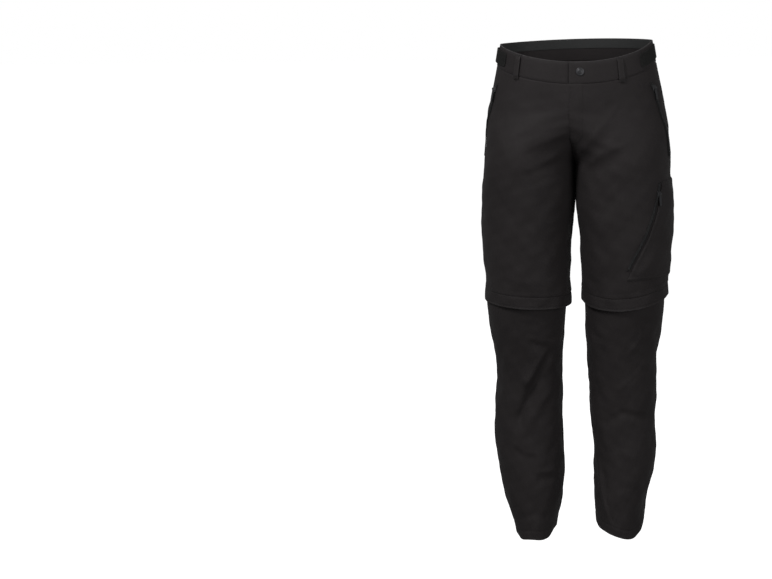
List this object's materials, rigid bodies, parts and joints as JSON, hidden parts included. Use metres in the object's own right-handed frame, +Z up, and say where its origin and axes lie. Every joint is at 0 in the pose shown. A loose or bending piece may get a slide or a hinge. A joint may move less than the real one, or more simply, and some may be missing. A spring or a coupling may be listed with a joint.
{
  "type": "convertible zip-off trousers",
  "caption": "Hiking trousers filled out as worn, with a snap waistband, belt loops, zipped pockets, a cargo pocket, and lower legs that zip off under knee flaps.",
  "frame": {"origin": "middle of the waistband's hollow, halfway between the side seams, where the wearer holds the trousers up", "axes": "+X towards the wearer's left, -Y towards the front, +Z up"},
  "size_m": [0.409, 0.2581, 1.0795],
  "materials": {
    "shell_cloth": "plain woven stretch cloth, near black, matt with a faint sheen",
    "zip_tape": "black coil zip on woven tape",
    "hook_tape": "black hook-and-loop tape",
    "snap": "dark satin lacquer",
    "zip_metal": "dark gunmetal"
  },
  "bodies": {
    "trousers": {"front_left": "shell_cloth", "front_right": "shell_cloth", "back_left": "shell_cloth", "back_right": "shell_cloth", "waistband_front_left": "shell_cloth", "waistband_front_right": "shell_cloth", "waistband_back": "shell_cloth", "fly_shield": "shell_cloth", "waist_snap": "snap", "belt_loop_front_left": "shell_cloth", "belt_loop_front_right": "shell_cloth", "belt_loop_back_left": "shell_cloth", "belt_loop_back_right": "shell_cloth", "belt_loop_back_centre": "shell_cloth", "waist_tab_left": "hook_tape", "waist_tab_right": "hook_tape", "hand_zip_left": "zip_tape", "hand_zip_right": "zip_tape", "hand_left_slider": "zip_metal", "hand_right_slider": "zip_metal", "cargo_pocket": "shell_cloth", "cargo_zip": "zip_tape", "cargo_slider": "zip_metal", "knee_flap_left": "shell_cloth", "knee_flap_right": "shell_cloth", "knee_zip_left": "zip_tape", "knee_zip_right": "zip_tape", "lower_front_left": "shell_cloth", "lower_front_right": "shell_cloth", "lower_back_left": "shell_cloth", "lower_back_right": "shell_cloth"},
    "left_hand_pull": {"hand_left_pull": "zip_metal"},
    "right_hand_pull": {"hand_right_pull": "zip_metal"},
    "cargo_zip_pull": {"cargo_pull": "zip_metal"}
  },
  "joints": [
    {"name": "left_hand_pull_turn", "type": "hinge", "parent": "trousers", "child": "left_hand_pull", "pos_m": [0.16955, -0.04672, -0.07795], "axis": [-0.5144, -0.8542, -0.0754], "range_deg": [0, 170]},
    {"name": "right_hand_pull_turn", "type": "hinge", "parent": "trousers", "child": "right_hand_pull", "pos_m": [-0.16909, -0.04672, -0.07795], "axis": [-0.5134, 0.8549, 0.0749], "range_deg": [0, 170]},
    {"name": "cargo_pull_turn", "type": "hinge", "parent": "trousers", "child": "cargo_zip_pull", "pos_m": [0.18343, -0.07392, -0.29592], "axis": [-0.5786, -0.8129, -0.0666], "range_deg": [0, 170]}
  ]
}
